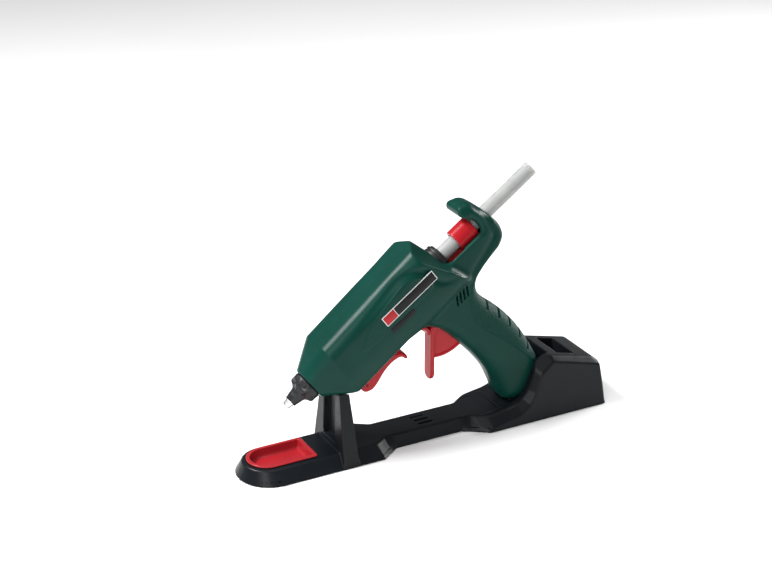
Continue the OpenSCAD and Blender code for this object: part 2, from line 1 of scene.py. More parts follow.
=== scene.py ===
"""Looks of the hot glue gun in its bench stand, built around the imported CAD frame.

Moulded pieces are drawn as smooth solids: each is a field that is negative inside the piece,
turned into a mesh whose points and normals are taken from the field itself. Fields work in
millimetres, either in the stand's frame (x, y, z) or in the gun's own frame: s runs along the
glue stick from the nozzle tip, t square to it and upwards, and y is shared with the stand.
"""
import json
import math

import bpy
import bmesh
import numpy as np
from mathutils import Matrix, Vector


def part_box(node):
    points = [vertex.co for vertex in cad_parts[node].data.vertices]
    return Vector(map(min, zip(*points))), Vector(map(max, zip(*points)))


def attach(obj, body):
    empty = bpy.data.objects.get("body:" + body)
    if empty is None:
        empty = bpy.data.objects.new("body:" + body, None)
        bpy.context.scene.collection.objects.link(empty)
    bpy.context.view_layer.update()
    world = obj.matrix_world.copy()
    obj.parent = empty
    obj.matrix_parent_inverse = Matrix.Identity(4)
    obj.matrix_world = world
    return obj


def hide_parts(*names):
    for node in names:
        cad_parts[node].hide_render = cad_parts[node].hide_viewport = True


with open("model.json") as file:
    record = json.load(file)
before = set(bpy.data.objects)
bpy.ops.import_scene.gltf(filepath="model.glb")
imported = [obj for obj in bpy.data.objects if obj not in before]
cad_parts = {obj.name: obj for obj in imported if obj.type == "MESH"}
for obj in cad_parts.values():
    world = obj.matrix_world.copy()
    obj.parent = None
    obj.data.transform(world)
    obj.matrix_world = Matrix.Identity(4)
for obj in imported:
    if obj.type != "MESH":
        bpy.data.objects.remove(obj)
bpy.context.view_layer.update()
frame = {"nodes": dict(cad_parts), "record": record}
MM = 0.001

# ---- the gun's frame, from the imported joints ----
joints = {j["name"]: j for j in frame["record"]["behaviour"]["joints"]}
along_axis = joints["stick_slide"]["axis"]
TILT = math.atan2(along_axis[2], along_axis[0])
COS, SIN = math.cos(TILT), math.sin(TILT)
PIVOT_S, PIVOT_T = 123.7, -38.0
pivot_world = [c / MM for c in joints["trigger_pull"]["pos_m"]]
TIP_X = pivot_world[0] - PIVOT_S * COS + PIVOT_T * SIN
TIP_Z = pivot_world[2] - PIVOT_S * SIN - PIVOT_T * COS


def to_world(points):
    """Gun frame (s, y, t) to the stand's frame (x, y, z), millimetres."""
    s, y, t = points[:, 0], points[:, 1], points[:, 2]
    return np.stack([TIP_X + s * COS - t * SIN, y, TIP_Z + s * SIN + t * COS], axis=1)


def to_gun(x, z):
    """Stand's x and z to the gun's s and t."""
    dx, dz = x - TIP_X, z - TIP_Z
    return dx * COS + dz * SIN, -dx * SIN + dz * COS


# ---- field kit ----
def size(*parts):
    return np.sqrt(sum(p * p for p in parts))


def cut(a, b, r):
    """What is inside both fields, with the edge rounded to radius r."""
    return np.minimum(np.maximum(a, b), -r) + size(np.maximum(a + r, 0), np.maximum(b + r, 0))


def join(a, b, r):
    """What is inside either field, with the inner corner filled to radius r."""
    return -cut(-a, -b, r)


def slab(v, low, high):
    return np.maximum(low - v, v - high)


def soft_step(v, low, high):
    k = np.clip((v - low) / (high - low), 0, 1)
    return k * k * (3 - 2 * k)


def soft_line(v, xs, ys, reach=0.6):
    """Straight stretches between the given points, with the kinks softened."""
    shifts = np.linspace(-reach, reach, 5)
    return sum(np.interp(v + d, xs, ys) for d in shifts) / len(shifts)


def round_rect(a, t, half, top, low, r_top, r_low):
    """Rounded box section in (|y|, t) with its own radius for upper and lower corners."""
    mid, tall = (top + low) / 2, (top - low) / 2
    r = r_low + (r_top - r_low) * soft_step(t - mid, -2, 2)
    qa, qt = a - half + r, np.abs(t - mid) - tall + r
    return np.minimum(np.maximum(qa, qt), 0) + size(np.maximum(qa, 0), np.maximum(qt, 0)) - r


def smooth_outline(points, steps=6, closed=True):
    """Curve through the given points."""
    p = np.array(points, float)
    n = len(p)
    out = []
    for i in range(n if closed else n - 1):
        if closed:
            a, b, c, d = p[i - 1], p[i], p[(i + 1) % n], p[(i + 2) % n]
        else:
            a, b, c, d = p[max(i - 1, 0)], p[i], p[i + 1], p[min(i + 2, n - 1)]
        for k in range(steps):
            u = k / steps
            out.append(0.5 * (2 * b + (c - a) * u + (2 * a - 5 * b + 4 * c - d) * u * u
                              + (3 * b - a - 3 * c + d) * u ** 3))
    if not closed:
        out.append(p[-1])
    return np.array(out)


class Plan:
    """Signed distance to a flat outline, read back as a smooth spline surface."""

    def __init__(self, outline, cell=0.6, margin=14, curved=True, blur=1):
        line = smooth_outline(outline) if curved else np.array(outline, float)
        self.low = line.min(0) - margin
        self.cell = cell
        count = np.ceil((line.max(0) + margin - self.low) / cell).astype(int) + 4
        u, v = np.meshgrid(*[self.low[i] + cell * np.arange(count[i]) for i in (0, 1)], indexing="ij")
        best = np.full(u.shape, 1e9)
        inside = np.zeros(u.shape, bool)
        for (u0, v0), (u1, v1) in zip(line, np.roll(line, -1, axis=0)):
            du, dv = u1 - u0, v1 - v0
            k = np.clip(((u - u0) * du + (v - v0) * dv) / max(du * du + dv * dv, 1e-9), 0, 1)
            best = np.minimum(best, (u - u0 - du * k) ** 2 + (v - v0 - dv * k) ** 2)
            if v0 != v1:
                crosses = ((v0 <= v) != (v1 <= v)) & (u < u0 + (v - v0) * du / dv)
                inside ^= crosses
        grid = np.sqrt(best) * np.where(inside, -1, 1)
        for _ in range(blur):
            for axis in (0, 1):
                grid = (np.roll(grid, 1, axis) + 2 * grid + np.roll(grid, -1, axis)) / 4
        self.grid = grid

    def __call__(self, u, v):
        u, v = np.broadcast_arrays(u, v)
        fu, fv = (u - self.low[0]) / self.cell, (v - self.low[1]) / self.cell
        fu = np.clip(fu, 1, self.grid.shape[0] - 3.001)
        fv = np.clip(fv, 1, self.grid.shape[1] - 3.001)
        iu, iv = fu.astype(int), fv.astype(int)
        wu, wv = self.weights(fu - iu), self.weights(fv - iv)
        return sum(wu[i] * wv[j] * self.grid[iu + i - 1, iv + j - 1] for i in range(4) for j in range(4))

    @staticmethod
    def weights(k):
        return ((1 - k) ** 3 / 6, (3 * k ** 3 - 6 * k * k + 4) / 6,
                (-3 * k ** 3 + 3 * k * k + 3 * k + 1) / 6, k ** 3 / 6)


def slope(field, p, h=0.06):
    """Value and gradient of the field at points p."""
    value = field(p[:, 0], p[:, 1], p[:, 2])
    grad = np.empty_like(p)
    for i in range(3):
        step = np.zeros(3)
        step[i] = h
        a, b = p + step, p - step
        grad[:, i] = (field(a[:, 0], a[:, 1], a[:, 2]) - field(b[:, 0], b[:, 1], b[:, 2])) / (2 * h)
    return value, grad


def solidify(field, low, high, step):
    """Points and quads of the surface where the field is zero, from a grid with one point per cell."""
    axes = [np.arange(low[i], high[i] + step, step) for i in range(3)]
    grid = np.meshgrid(*axes, indexing="ij", sparse=True)
    shape = tuple(len(a) for a in axes)
    f = np.broadcast_to(field(*grid), shape).astype(np.float32)
    inside = f < 0
    cells = tuple(n - 1 for n in shape)
    count = np.zeros(cells, np.int8)
    corners = [(i, j, k) for i in (0, 1) for j in (0, 1) for k in (0, 1)]
    for i, j, k in corners:
        count += inside[i:i + cells[0], j:j + cells[1], k:k + cells[2]]
    active = np.argwhere((count > 0) & (count < 8))
    total = np.zeros((len(active), 3))
    hits = np.zeros(len(active))
    for c in corners:
        for axis in range(3):
            if c[axis]:
                continue
            d = list(c)
            d[axis] = 1
            fa = f[tuple((active + c).T)]
            fb = f[tuple((active + d).T)]
            crossing = (fa < 0) != (fb < 0)
            k = np.where(crossing, fa / np.where(crossing, fa - fb, 1), 0)
            spot = np.array(c, float) + np.outer(k, np.array(d) - np.array(c))
            total[crossing] += spot[crossing]
            hits += crossing
    points = (active + total / hits[:, None]) * step + np.array([a[0] for a in axes])
    index = np.full(cells, -1, np.int32)
    index[tuple(active.T)] = np.arange(len(active))
    quads = []
    for axis in range(3):
        lo = [slice(1, n - 1) for n in shape]
        hi = [slice(1, n - 1) for n in shape]
        lo[axis], hi[axis] = slice(0, shape[axis] - 1), slice(1, shape[axis])
        a, b = inside[tuple(lo)], inside[tuple(hi)]
        where = np.argwhere(a != b) + np.array([0 if i == axis else 1 for i in range(3)])
        leaving = a[a != b]
        u, v = (axis + 1) % 3, (axis + 2) % 3
        ring = []
        for du, dv in ((1, 1), (0, 1), (0, 0), (1, 0)):
            spot = where.copy()
            spot[:, u] -= du
            spot[:, v] -= dv
            ring.append(index[tuple(spot.T)])
        quad = np.stack(ring, axis=1)
        quad[~leaving] = quad[~leaving][:, ::-1]
        quads.append(quad)
    quads = np.concatenate(quads)
    for _ in range(2):
        points = settle(field, relax(points, quads), step)
    return points, quads


def relax(points, quads):
    """Each point moves half way to the mean of its neighbours."""
    total = np.zeros_like(points)
    hits = np.zeros(len(points))
    for a, b in ((0, 1), (1, 2), (2, 3), (3, 0)):
        for i, j in ((a, b), (b, a)):
            np.add.at(total, quads[:, i], points[quads[:, j]])
            np.add.at(hits, quads[:, i], 1)
    return points * 0.5 + 0.5 * total / np.maximum(hits, 1)[:, None]


def settle(field, points, reach):
    """Moves points onto the surface."""
    for _ in range(2):
        value, grad = slope(field, points)
        steep = np.maximum((grad ** 2).sum(1), 0.09)
        move = -(value / steep)[:, None] * grad
        far = size(*move.T)
        move *= np.minimum(1, 0.6 * reach / np.maximum(far, 1e-9))[:, None]
        points = points + move
    return points


# ---- mesh kit ----
def mesh_object(name, points, faces, normals=None, masks=None):
    """Object from points in millimetres in the stand's frame. normals hold one per face corner."""
    mesh = bpy.data.meshes.new(name)
    faces = np.asarray(faces)
    mesh.vertices.add(len(points))
    mesh.vertices.foreach_set("co", (np.asarray(points) * MM).ravel())
    mesh.loops.add(faces.size)
    mesh.loops.foreach_set("vertex_index", faces.ravel())
    mesh.polygons.add(len(faces))
    mesh.polygons.foreach_set("loop_start", np.arange(len(faces)) * faces.shape[1])
    mesh.update(calc_edges=True)
    mesh.polygons.foreach_set("use_smooth", np.ones(len(faces), bool))
    for key, values in (masks or {}).items():
        layer = mesh.attributes.new(key, "FLOAT", "POINT")
        layer.data.foreach_set("value", np.asarray(values, np.float32))
    if normals is not None:
        mesh.normals_split_custom_set(normals.tolist())
    mesh.validate(clean_customdata=False)
    ob = bpy.data.objects.new(name, mesh)
    bpy.context.scene.collection.objects.link(ob)
    return ob


def field_object(name, field, low, high, step, in_gun=False, masks=None):
    """Moulded piece from its field. masks are named functions of the three coordinates."""
    points, quads = solidify(field, low, high, step)
    grad = slope(field, points)[1]
    unit = grad / np.maximum(size(*grad.T), 1e-9)[:, None]
    values = {k: f(points[:, 0], points[:, 1], points[:, 2]) for k, f in (masks or {}).items()}
    if in_gun:
        unit = to_world(unit) - np.array([TIP_X, 0, TIP_Z])
        points = to_world(points)
    return mesh_object(name, points, quads, unit[quads.ravel()], masks=values)


def half_objects(names, field, low, high, step, masks, gap=0.03):
    """Two moulded shells from one field in the gun's frame, parted at y = 0."""
    points, quads = solidify(field, low, high, step)
    source = mesh_object("whole", points, quads)
    made = []
    for name, side in zip(names, (-1, 1)):
        bm = bmesh.new()
        bm.from_mesh(source.data)
        geometry = bm.verts[:] + bm.edges[:] + bm.faces[:]
        bmesh.ops.bisect_plane(bm, geom=geometry, dist=1e-7, plane_co=(0, side * gap * MM, 0),
                               plane_no=(0, side, 0), clear_inner=True)
        rim = [e for e in bm.edges if e.is_boundary]
        filled = bmesh.ops.triangle_fill(bm, edges=rim, use_beauty=True, normal=(0, -side, 0))["geom"]
        for f in filled:
            if isinstance(f, bmesh.types.BMFace):
                f.normal_update()
                if f.normal.y * side > 0:
                    f.normal_flip()
        mesh = bpy.data.meshes.new(name)
        for f in bm.faces:
            f.smooth = True
        bm.to_mesh(mesh)
        bm.free()
        count = len(mesh.vertices)
        local = np.empty(count * 3)
        mesh.vertices.foreach_get("co", local)
        local = local.reshape(-1, 3) / MM
        grad = slope(field, local)[1]
        unit = grad / np.maximum(size(*grad.T), 1e-9)[:, None]
        on_seam = np.abs(local[:, 1] - side * gap) < 0.002
        unit[on_seam, 1] -= side * SEAM_LEAN
        unit /= size(*unit.T)[:, None]
        for key, f in masks.items():
            layer = mesh.attributes.new(key, "FLOAT", "POINT")
            layer.data.foreach_set("value", f(*local.T).astype(np.float32))
        corner = np.empty(len(mesh.loops), np.int32)
        mesh.loops.foreach_get("vertex_index", corner)
        normals = unit[corner]
        starts = np.array([q.loop_start for q in mesh.polygons])
        totals = np.array([q.loop_total for q in mesh.polygons])
        owner = np.repeat(np.arange(len(starts)), totals)
        flat = np.ones(len(starts), bool)
        np.logical_and.at(flat, owner, on_seam[corner])
        normals[flat[owner]] = (0, -side, 0)
        turned = to_world(normals) - np.array([TIP_X, 0, TIP_Z])
        mesh.vertices.foreach_set("co", (to_world(local) * MM).ravel())
        mesh.update()
        mesh.normals_split_custom_set(turned.tolist())
        ob = bpy.data.objects.new(name, mesh)
        bpy.context.scene.collection.objects.link(ob)
        made.append(ob)
    bpy.data.objects.remove(source)
    return made


SEAM_LEAN = 0.2             # how far the edge beside the seam turns into it

# ---- housing ----
WALL = 2.4
STEP = 0.75
NOSE_S, CREASE_S, WIDEST_S, REAR_S = 23.4, 45.5, 136.5, 152      # where the barrel's section changes
FOOT_S, FOOT_T = 53.1, -32.2                                     # pin of the support foot
SPACERS = (33, 91)
SCREWS = ((62, 15.6), (122, 18.5), (193, 12.6), (184, -19.6), (153, -59), (136, -111))

# Tail, arch and handle seen from the side: [s, t]
frame_plan = Plan(blur=2, outline=[
    (132, -3), (150, -2.6), (170, -2.5), (183.5, -2.5), (187.6, -0.6), (188.6, 5), (187.4, 11),
    (184.2, 14.8), (182, 17.6), (181.8, 21), (184, 23.8), (188.8, 24), (194, 20.4),
    (198.2, 9.5), (201, -3.5), (201.6, -11.5), (199.4, -18.6), (193.4, -22.2), (184.6, -23.9),
    (172, -26.8), (162.8, -31.2), (158.6, -40.4), (160.6, -53.5), (164.1, -66), (166.4, -79),
    (167.3, -93), (166.7, -106), (165.3, -119), (163.2, -129.5), (160, -136.8), (152, -141.5),
    (143, -144.2), (135, -141.5), (128, -136.6), (123.4, -130.8), (123.2, -124.5), (125.2, -115.2),
    (127.3, -104), (127.7, -93), (126.6, -79), (124.4, -65), (122, -51), (118.8, -39.5),
    (112, -30), (100, -20), (116, -8)])

# Everything behind this line is the grainy grip zone: [s, t]
grip_plan = Plan([
    (203, 16), (199.5, 4), (197.6, -10), (192.5, -15.2), (178.5, -20.6), (166.4, -24.4),
    (157.4, -29.8), (149.8, -38), (144.4, -48), (142.8, -57), (144.7, -66.5), (148, -76),
    (151.2, -86), (154.6, -99), (157.3, -113), (160.5, -127), (164, -138), (200, -150), (240, -60),
    (240, 16)], margin=24)

# Raised pad under the side plate, and the groove that curls round it: [s, t]
pad_plan = Plan([
    (66, 1.5), (80, 11.5), (94.3, 15.2), (108, 17.4), (118, 18.6), (125.5, 17), (131, 12.6),
    (134.2, 6), (133, -0.6), (120, -1.6), (96, -1.4), (78, -0.6)])
groove_line = smooth_outline([(60, 13.5), (78, 17.5), (100, 20.3), (116, 22), (125.5, 21), (132.5, 16.6),
                              (137, 9), (138.6, 0.5), (143, -6.5), (151, -11), (160, -13.5)], 3, False)


def path_reach(s, t, line):
    """Distance to a line of points and how far along it, from 0 to 1."""
    best = np.full(np.broadcast(s, t).shape, 1e9)
    place = np.zeros_like(best)
    for i in range(len(line) - 1):
        (s0, t0), (s1, t1) = line[i], line[i + 1]
        ds, dt = s1 - s0, t1 - t0
        k = np.clip(((s - s0) * ds + (t - t0) * dt) / (ds * ds + dt * dt), 0, 1)
        away = (s - s0 - ds * k) ** 2 + (t - t0 - dt * k) ** 2
        nearer = away < best
        best = np.where(nearer, away, best)
        place = np.where(nearer, (i + k) / (len(line) - 1), place)
    return np.sqrt(best), place


def side_relief(s, t):
    """How far the barrel's side stands back from its full width."""
    pad = pad_plan(s, t)
    away, place = path_reach(s, t, groove_line)
    depth = 1.5 * soft_step(place, 0, 0.3) * (1 - soft_step(place, 0.78, 1))
    groove = depth * np.exp(-(away / 2.7) ** 2)
    below = 0.45 * soft_step(pad, -0.5, 0.5)
    return groove * soft_step(pad, -0.8, 1.2) + below


def barrel(s, y, t):
    """Rounded box that tapers to the nose, with bevelled lower sides and a sloping rear face."""
    a = np.abs(y)
    stations = [NOSE_S, CREASE_S, WIDEST_S, REAR_S]
    half = soft_line(s, stations, [11.8, 20.5, 20.5, 19.8]) - side_relief(s, t)
    top = soft_line(s, stations, [11.8, 21.9, 28, 28.8])
    low = soft_line(s, stations, [-12.2, -26, -22, -21.4])
    r_top = soft_line(s, [NOSE_S, CREASE_S, REAR_S], [9.4, 11, 11.5])
    r_low = soft_line(s, [NOSE_S, CREASE_S, REAR_S], [9.4, 6.5, 7])
    body = round_rect(a, t, half, top, low, r_top, r_low)
    lower_bevel = (a - 20.2) * 0.952 - (t + 10.4) * 0.306
    body = cut(body, lower_bevel + 7 * soft_step(40 - s, 0, 18), 2)
    rear = (s - 150.5) * 0.963 + (t + 0.2) * 0.271 - 1.9 * (1 - np.minimum(a / 18, 1) ** 2)
    rear_bevel = (s - 150.2) * 0.797 + (t + 0.2) * 0.406 + (a - 16) * 0.447
    body = cut(body, rear_bevel, 0.9)
    body = cut(body, rear, 0.8)
    return cut(body, 23.3 - s, 0.8)


def handle_and_tail(s, y, t):
    """Side outline with a width that follows the height, and edges rounded to suit the hand."""
    a = np.abs(y)
    plan = frame_plan(s, t)
    grip = grip_plan(s, t)
    half = np.interp(t, [-140, -120, -95, -60, -40, -20, -4, 10, 27],
                     [14.2, 14.9, 15, 14.2, 14.3, 14.6, 14.2, 13.3, 9.4])
    half = half - np.interp(s, [190, 204.5], [0, 3.6]) * soft_step(t, -34, -20)
    half = half - 0.5 * soft_step(grip, -0.3, 0.5) * soft_step(t, -134, -120)
    half = half - 1.3 * np.exp(-((grip - 3.2) / 3.4) ** 2) * soft_step(s, 150, 168) * soft_step(t, -40, -24)
    edge = np.interp(t, [-146, -136, -118, -60, -42, -26, -4, 14], [6, 9.5, 12.5, 12.5, 9, 6.5, 4.6, 5.6])
    rail = soft_step(s, 146, 152) * (1 - soft_step(s, 184, 190)) * soft_step(t, -9, -4)
    edge = edge * (1 - 0.6 * rail)
    return cut(plan, a - half, edge)


def palm_grooves(s, y, t):
    """Five short cross cuts in the back of the handle."""
    depth = 0
    for at_s, at_t in ((162.2, -52.4), (165.2, -65.6), (167.2, -78.6), (167.6, -92.8), (167.3, -106.5)):
        across_cut = (t - at_t - 0.5 * (s - at_s)) / 0.95
        near = (1 - soft_step(np.abs(y), 11, 13.4)) * soft_step(s, at_s - 9, at_s - 6)
        depth = depth + np.exp(-across_cut ** 2) * near
    return 1.8 * depth


def housing_outside(s, y, t):
    body = join(barrel(s, y, t), handle_and_tail(s, y, t), 7)
    lug = size(s - FOOT_S, t - np.clip(t, FOOT_T, -22)) - 4.2
    lug = cut(lug, np.abs(y) - 3.4, 0.6)
    return join(body, lug, 1.6) + palm_grooves(s, y, t)


def tube(s, y, t, r, low, high):
    return np.maximum(size(y, t) - r, slab(s, low, high))


def across(s, y, t, at_s, at_t, r, half):
    return np.maximum(size(s - at_s, t - at_t) - r, np.abs(y) - half)


def housing(s, y, t):
    """Both shells as one: outside, hollow with its ribs and bosses, then every opening."""
    a = np.abs(y)
    outside = housing_outside(s, y, t)
    hollow = np.maximum(outside + WALL, np.minimum(s - 138, t + 16))
    radius = size(y, t)
    passage = np.maximum(a - 4, slab(t, -20, -11.6))
    for at in SPACERS:
        wall = np.maximum(np.abs(s - at - 1.6) - 2.2, 13.1 - radius)
        hollow = np.maximum(hollow, -np.maximum(wall, -passage))
    for at_s, at_t in SCREWS:
        hollow = np.maximum(hollow, 3.6 - size(s - at_s, t - at_t))
    hollow = np.maximum(hollow, -np.maximum(size(s - PIVOT_S, t - PIVOT_T) - 4, 7.6 - a))
    hollow = cut(hollow, -(s - 25.5), 0.5)
    shell = cut(outside, -hollow, 0.5)
    channel = np.maximum(a - 9.6, np.maximum(slab(t, -13.6, 6), slab(s, 149, 187.6)))
    channel = np.minimum(channel, np.maximum(a - 9.6, np.maximum(slab(t, -13.6, -4.6), slab(s, 143, 153))))
    slit = np.maximum(a - 5.6, np.maximum(slab(t, -21.6, -1.6), slab(s, 138, 166)))
    shell = cut(shell, -channel, 1.0)
    openings = np.minimum.reduce([
        tube(s, y, t, 9.3, 10, 28), tube(s, y, t, 11.3, 146.2, 170), tube(s, y, t, 10, 120, 150),
        tube(s, y, t, 6.7, 178, 230), tube(s, y, t, 9.1, 170, 188.4), tube(s, y, t, 8.6, 195, 198.6)])
    shell = cut(shell, -openings, 0.7)
    pocket = np.minimum.reduce([across(s, y, t, PIVOT_S, PIVOT_T, r, half)
                                for r, half in ((15.3, 5.9), (30.6, 4), (5.3, 7.4))])
    shell = cut(shell, -np.minimum(pocket, slit), 0.5)
    for at_s, at_t in SCREWS:
        recess = np.maximum(size(s - at_s, t - at_t) - 3.1, 10.4 - y)
        shell = cut(shell, -recess, 0.4)
    for i in range(4):
        u = (s - 139.8 - 3.4 * i) - (t + 33.4) * math.tan(math.radians(24))
        slot = size(np.maximum(np.abs(u - 0.6) * 0.91 - 0.1, 0),
                    np.maximum(np.abs(t + 29.6) - 3.6, 0)) - 0.55
        shell = cut(shell, -np.maximum(slot, 11 - a), 0.25)
    x = TIP_X + s * COS - t * SIN
    z = TIP_Z + s * SIN + t * COS
    dock = np.maximum(np.maximum(np.abs(x - DOCK_X) - 7.1, a - 8.1), z - 28)
    shell = cut(shell, -dock, 0.4)
    return cut(shell, 13.85 - z, 1.6)


def make_housing():
    masks = {"grip": lambda s, y, t: 1 - soft_step(grip_plan(s, t), -0.6, 0.8)}
    names = ("housing_left_skin", "housing_right_skin")
    left, right = half_objects(names, housing, (21.5, -22.5, -148), (207, 22.5, 30), STEP, masks)
    return left, right


# ---- stand ----
DECK_Z, RIM_Z = 10.6, 0.2
POCKET_HALF, POCKET_Z = 15.2, 13.5
RIB_X = 100.6
TOWER_TALL, SILL_Z, WINDOW_HALF = 65, 15, 8.5
DOCK_X = 80                             # contacts between the stand and the handle
WELL = (109.4, 124.1, 14.7, 8)          # x from, x to, half width, floor
TRAY_X, TRAY_BACK, TRAY_HALF, TRAY_RIM = -124.9, -91.7, 15.3, 2.2
TRAY_TOP, TRAY_FLOOR, TRAY_CORNER = 12.2, 5.6, 1.6


def mirrored(points):
    """Outline in plan from one side's points, front to back."""
    return points + [(x, -y) for x, y in reversed(points)]


def round_front(x, r, steps=20):
    """Quarter turn from the front tip round to the side."""
    turns = [math.pi * (1 - 0.5 * k / steps) for k in range(1, steps + 1)]
    return [(x + r * math.cos(a), r * math.sin(a)) for a in turns]


floor_plan = Plan(mirrored(round_front(-122.4, 25.9) + [
    (-42.4, 25.9), (-27.1, 14.8), (26.8, 14.8), (45.2, 27.5), (148.3, 27.5)]), curved=False)
deck_plan = Plan(mirrored(round_front(-124.9, 18.25) + [
    (-46.3, 18.25), (-36.5, 11.7), (35.7, 11.7), (49, 19.6), (148.3, 19.6)]), curved=False)
block_plan = Plan([*map(tuple, smooth_outline([
    (38, 10.2), (49.4, 11), (57, 12.3), (64, 13.2), (70, 14.9), (76.4, 19.2), (81, 25.5), (84.6, 34),
    (87.4, 41.4), (91.2, 47.1), (98, 49.7)], 4, False)), (137.6, 39.8), (142.5, 36), (145.6, 20),
    (148.3, 0.8), (148.3, -14), (38, -14)], curved=False, cell=0.5)
bevel_plan = Plan([(38, 10.2), (49.4, 11), (57, 12.3), (64, 13.2), (70, 14.9), (76.4, 19.2), (81, 25.5),
                   (84.6, 34), (87.4, 41.4), (91.2, 47.1), (98, 49.7), (138.5, 39.6), (146.4, 37),
                   (149.8, 20), (153.4, 0.8), (153.4, -14), (38, -14)], curved=False, cell=0.5, blur=3)
pocket_plan = Plan([(30, 10.6), (50, 10.6), (66, POCKET_Z), (RIB_X, POCKET_Z), (RIB_X, 90), (30, 90)],
                   curved=False, cell=0.5)


def base_side(x, y, z):
    """Drafted side wall of the deck."""
    rise = np.clip((z - RIM_Z) / (DECK_Z - RIM_Z), -0.2, 1.6)
    return (floor_plan(x, y) * (1 - rise) + deck_plan(x, y) * rise) * 0.82


def tower(x, y, z):
    """Tapered post with a window in front, a recess behind and a splayed sill."""
    a = np.abs(y)
    rise = (z - RIM_Z) / TOWER_TALL
    outer = a - (25.7 - 12 * rise)
    block = cut(slab(x, -76 + 2 * rise, -63 - 4 * rise), outer * 0.98, 0.9)
    block = cut(block, z - 66, 1)
    window = cut(a - WINDOW_HALF, np.maximum(SILL_Z - z, x + 70.6), 0.4)
    ahead = -70.2 - x
    splay = cut(a - WINDOW_HALF - ahead * 0.16, np.maximum(SILL_Z - z + ahead * 0.5, x + 70.6), 0.4)
    back = cut(a - 6.4, np.maximum(SILL_Z - z, -66 - x), 0.4)
    block = cut(block, -np.minimum(window, splay), 0.5)
    return cut(block, -back, 0.5)


def stand(x, y, z):
    """Deck, rear block and tower as one moulding, then the pocket, well, slots and underside."""
    a = np.abs(y)
    side = base_side(x, y, z)
    deck = cut(side, z - DECK_Z, 1.1)
    profile = block_plan(x, z)
    outer = a - (27.5 - 0.075 * z)
    bevel = (a - 19.8 + bevel_plan(x, z) * 1.12) / 1.5
    block = cut(profile, cut(outer, bevel, 0.9), 1.1)
    facet = 0.65 * (a - 14.8) - 0.449 * (x - 26.8) + 0.613 * (z - 0.8)
    block = cut(block, facet, 1)
    body = join(deck, block, 0.8)
    body = join(body, tower(x, y, z), 0.9)
    body = cut(body, RIM_Z - z, 0.35)
    pocket = cut(pocket_plan(x, z), a - POCKET_HALF, 0.8)
    body = cut(body, -pocket, 0.8)
    well = cut(slab(x, WELL[0], WELL[1]), a - WELL[2], 0.8)
    body = cut(body, -np.maximum(well, WELL[3] - z), 0.6)
    s, t = to_gun(x, z)
    body = cut(body, -(barrel(s, y, t) - 0.55), 0.5)
    tray_hole = tray_plan(x, y) + TRAY_RIM - 0.5
    body = cut(body, -tray_hole, 0.3)
    for i in range(3):
        u = np.clip(x, -5.2 + 0.8 * i, 5.2 + 0.8 * i)
        slot = size(x - u, y - 5.4 + 5.4 * i) - 0.85
        body = cut(body, -np.maximum(slot, DECK_Z - 1.4 - z), 0.3)
    seam = np.maximum(np.abs(x - 59.5) - 0.25, np.maximum(a - POCKET_HALF, 11.4 - z))
    body = cut(body, -seam, 0.2)
    under = np.maximum(side + 3.4, z - 8.2)
    under = np.maximum(under, x - 67)
    under = np.minimum(under, np.maximum(slab(x, 66, 98), np.maximum(a - 21, z - 11.1)))
    under = np.minimum(under, np.maximum(slab(x, 97, 127), np.maximum(a - 21, z - 5.6)))
    under = np.minimum(under, np.maximum(slab(x, 126.5, 140.5), np.maximum(a - 18, z - 31)))
    bosses = np.minimum(size(np.abs(x + 84), a - 12), size(np.abs(x - 58), a - 17)) - 3.4
    body = cut(body, -np.maximum(under, -bosses), 0.4)
    body = cut(body, -np.maximum(floor_plan(x, y) + 2.9, z - 3.1), 0.3)
    inlet = np.maximum(np.maximum(130 - x, a - 10.1), np.abs(z - 17) - 6.1)
    dock = np.maximum(np.abs(x - DOCK_X) - 9.1, a - 9.1)
    return cut(body, -np.minimum(inlet, dock), 0.3)


def rounded_tray(r):
    """Tray outline: half round in front, square with small round corners behind."""
    turns = [k * math.pi / 12 for k in range(7)]
    back = [(TRAY_BACK - TRAY_CORNER * (1 - math.sin(a)), TRAY_HALF - TRAY_CORNER * (1 - math.cos(a)))
            for a in turns]
    return mirrored(round_front(TRAY_X, r) + back)


tray_plan = Plan(rounded_tray(TRAY_HALF), curved=False, cell=0.4)


def tray(x, y, z):
    """Dished tray with a flat rim and a fine groove round it."""
    plan = tray_plan(x, y)
    rim = cut(plan, slab(z, TRAY_TOP - 1.3, TRAY_TOP), 0.5)
    tub = cut(plan + TRAY_RIM, slab(z, TRAY_FLOOR - 1.2, TRAY_TOP), 0.6)
    inner = cut(plan + 3.7 - 0.12 * (z - TRAY_FLOOR), TRAY_FLOOR - z, 2)
    body = cut(join(rim, tub, 0.4), -inner, 0.6)
    groove = np.maximum(np.abs(plan + 3.1) - 0.25, TRAY_TOP - 0.25 - z)
    return cut(body, -groove, 0.15)


# ---- moving pieces ----
foot_plan = Plan([
    (48, -32.6), (48.6, -29.4), (51.4, -27.3), (57, -26.7), (70, -26.2), (80, -26.1), (85.6, -26.5),
    (88, -29.4), (89, -34.6), (89.1, -38.2), (88.4, -39.9), (86.7, -39.2), (86, -36.6), (84.4, -34.7),
    (80.6, -33.5), (76.6, -33.1), (72.4, -33.5), (67.6, -34.5), (61.6, -36.7), (55.6, -38.1),
    (51.4, -37.2), (48.8, -35.2)], cell=0.4)
foot_ridge = [(48.6, -31.9), (51.4, -30.2), (59.7, -29.6), (71.1, -28), (78.2, -28.9), (83.4, -30.6),
              (87.3, -34), (88.2, -38)]


